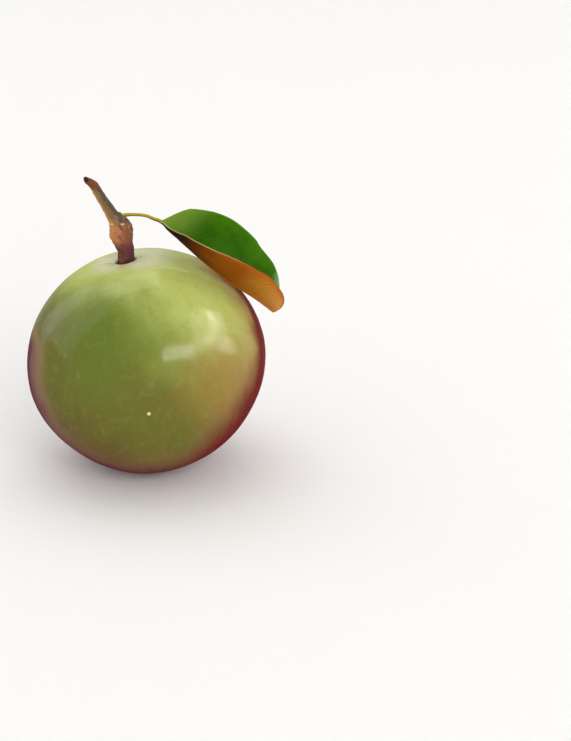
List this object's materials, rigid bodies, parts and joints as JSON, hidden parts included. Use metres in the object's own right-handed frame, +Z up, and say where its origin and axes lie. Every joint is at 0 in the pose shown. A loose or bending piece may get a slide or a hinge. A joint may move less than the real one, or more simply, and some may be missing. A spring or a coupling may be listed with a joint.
{
  "type": "star apple",
  "caption": "Whole green star apple resting on its underside, with the short twig it was picked with and a small folded leaf.",
  "frame": {"origin": "middle of the small flat spot that the fruit rests on", "axes": "+Z up, the fruit's stalk end leans 10 degrees toward -X, the leaf hangs toward +X, and the picture looks along +Y"},
  "size_m": [0.0854, 0.0794, 0.0993],
  "materials": {
    "skin": "smooth waxy fruit skin",
    "bark": "dull wrinkled bark",
    "foliage": "glossy above, velvety gold-brown below"
  },
  "bodies": {
    "root": {"fruit": "skin", "twig": "bark", "leaf": "foliage"}
  },
  "joints": []
}
